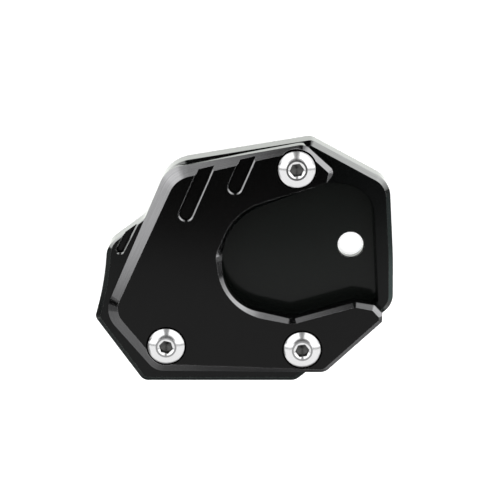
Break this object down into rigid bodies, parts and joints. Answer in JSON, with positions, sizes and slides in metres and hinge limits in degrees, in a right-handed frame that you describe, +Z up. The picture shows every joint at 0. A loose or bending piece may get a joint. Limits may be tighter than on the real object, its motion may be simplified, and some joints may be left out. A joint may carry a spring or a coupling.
{
  "type": "kickstand foot enlarger",
  "caption": "Flat foot enlarger for a motorbike side stand: a pocketed base plate and a bevelled clamp plate, held together by button-head screws.",
  "frame": {"origin": "middle of the bounding box at the underside of the base plate, where it stands on the ground", "axes": "+Z up out of the ground, +X towards the open side of the clamp plate, +Y towards the grooved edge"},
  "size_m": [0.0976, 0.0813, 0.0155],
  "materials": {
    "base_plate": "satin black anodised, with bright machined edges",
    "clamp_plate": "satin black anodised, with brushed bright bevels",
    "screws": "polished stainless steel"
  },
  "bodies": {
    "root": {"base_plate": "base_plate", "clamp_plate": "clamp_plate", "screw_top": "screws", "screw_bottom_left": "screws", "screw_bottom_right": "screws"}
  },
  "joints": []
}
